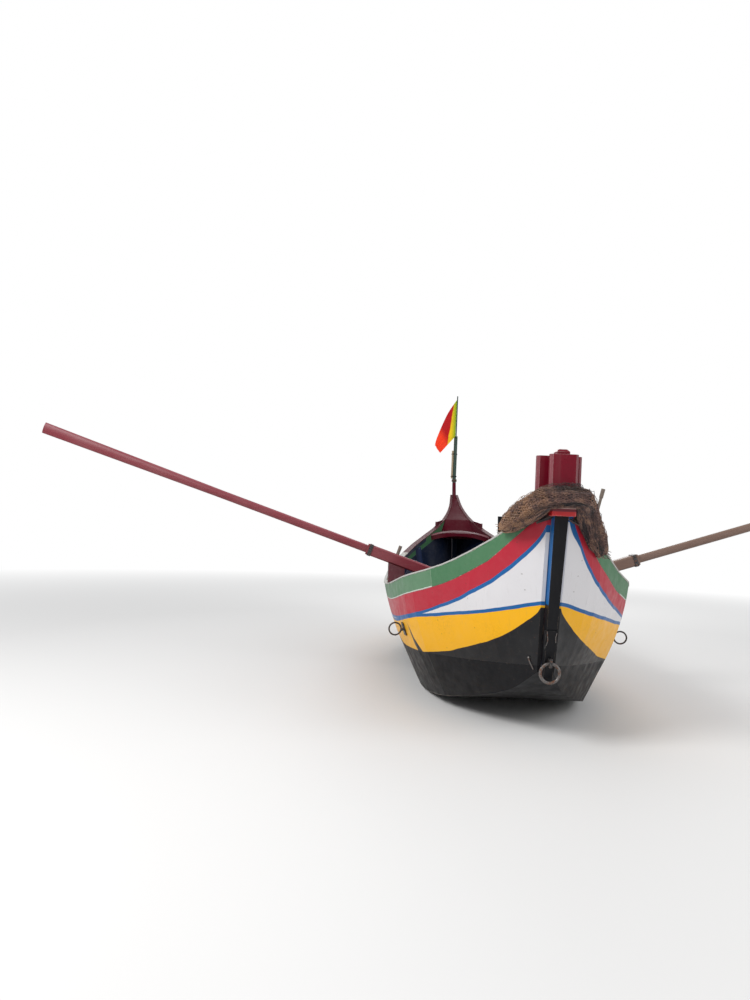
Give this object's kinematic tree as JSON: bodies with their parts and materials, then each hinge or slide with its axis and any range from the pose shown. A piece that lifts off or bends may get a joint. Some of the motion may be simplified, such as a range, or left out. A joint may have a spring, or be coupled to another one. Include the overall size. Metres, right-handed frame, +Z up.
{
  "type": "beach-launched rowing boat",
  "caption": "Flat-bottomed wooden rowing boat with high pointed ends, painted bands, long oars on leaning pins, hauling rings, a net over the stern and a flag at the bow.",
  "frame": {"origin": "point on the underside of the flat bottom, on the centreline, amidships, at ground level", "axes": "+X to starboard (the oars lie along X), +Y from stern to bow, +Z up"},
  "size_m": [9.3498, 7.5177, 3.8],
  "materials": {
    "bottom_black": "tarred black paint, matte",
    "topside_paint": "oil paint in traditional bands of red, blue, white and yellow over a black lower hull",
    "sheer_green": "green oil paint, satin",
    "cap_white": "thin white paint",
    "inner_blue": "dark blue paint, worn",
    "dark_red": "dark red gloss paint",
    "post_black": "black paint, scraped",
    "thwart_red": "red paint, worn",
    "bare_boards": "bare weathered wood",
    "oar_crimson": "crimson paint, worn",
    "oar_grey": "bare weathered wood",
    "pole_green": "dark green paint",
    "cane": "dry cane",
    "iron": "black iron with rust",
    "galvanised": "worn galvanised steel",
    "net": "old brown netting",
    "flag_cloth": "thin cloth in green and orange-red"
  },
  "bodies": {
    "hull": {"aft_deck": "dark_red", "aft_deck_beam": "dark_red", "bilge_plank_port": "bottom_black", "bilge_plank_starboard": "bottom_black", "bottom_planking": "bottom_black", "bow_cheek_port": "dark_red", "bow_cheek_starboard": "dark_red", "bow_hood": "dark_red", "flag": "flag_cloth", "flagpole": "pole_green", "flagstick": "pole_green", "floor_boards": "bare_boards", "foredeck": "dark_red", "foredeck_beam": "dark_red", "frames": "inner_blue", "gunwale_cap_port": "cap_white", "gunwale_cap_starboard": "cap_white", "gunwale_post": "post_black", "inwale_port": "inner_blue", "inwale_starboard": "inner_blue", "net_bundle": "net", "oar_wedge_port": "dark_red", "oar_wedge_starboard": "dark_red", "pole_splint": "cane", "quarter_peg": "bare_boards", "sheer_strake_port": "sheer_green", "sheer_strake_starboard": "sheer_green", "side_eye_port": "iron", "side_eye_starboard": "iron", "side_planking_port": "topside_paint", "side_planking_starboard": "topside_paint", "stem": "dark_red", "stern_cap": "dark_red", "stern_eye": "iron", "stern_head_aft_wing": "dark_red", "stern_head_fore_wing": "dark_red", "stern_head_post": "dark_red", "stern_ring": "galvanised", "stern_strap": "galvanised", "sternpost": "post_black", "thole_pin_port": "bare_boards", "thole_pin_starboard": "bare_boards", "thwart_aft": "thwart_red", "thwart_bracket": "inner_blue", "thwart_cleats": "inner_blue", "thwart_fore": "thwart_red", "thwart_middle": "thwart_red"},
    "oar_port": {"oar_loom_port": "oar_crimson", "oar_blade_port": "oar_crimson", "oar_band_port": "iron"},
    "oar_starboard": {"oar_loom_starboard": "oar_grey", "oar_blade_starboard": "oar_grey", "oar_band_starboard": "iron"}
  },
  "joints": [
    {"name": "oar_swing_port", "type": "hinge", "parent": "hull", "child": "oar_port", "pos_m": [-1.085, -1.29, 1.2], "axis": [0.3134, 0, 0.9496], "range_deg": [-35, 35]},
    {"name": "oar_swing_starboard", "type": "hinge", "parent": "hull", "child": "oar_starboard", "pos_m": [1.085, -1.29, 1.2], "axis": [-0.3134, 0, 0.9496], "range_deg": [-35, 35]}
  ]
}
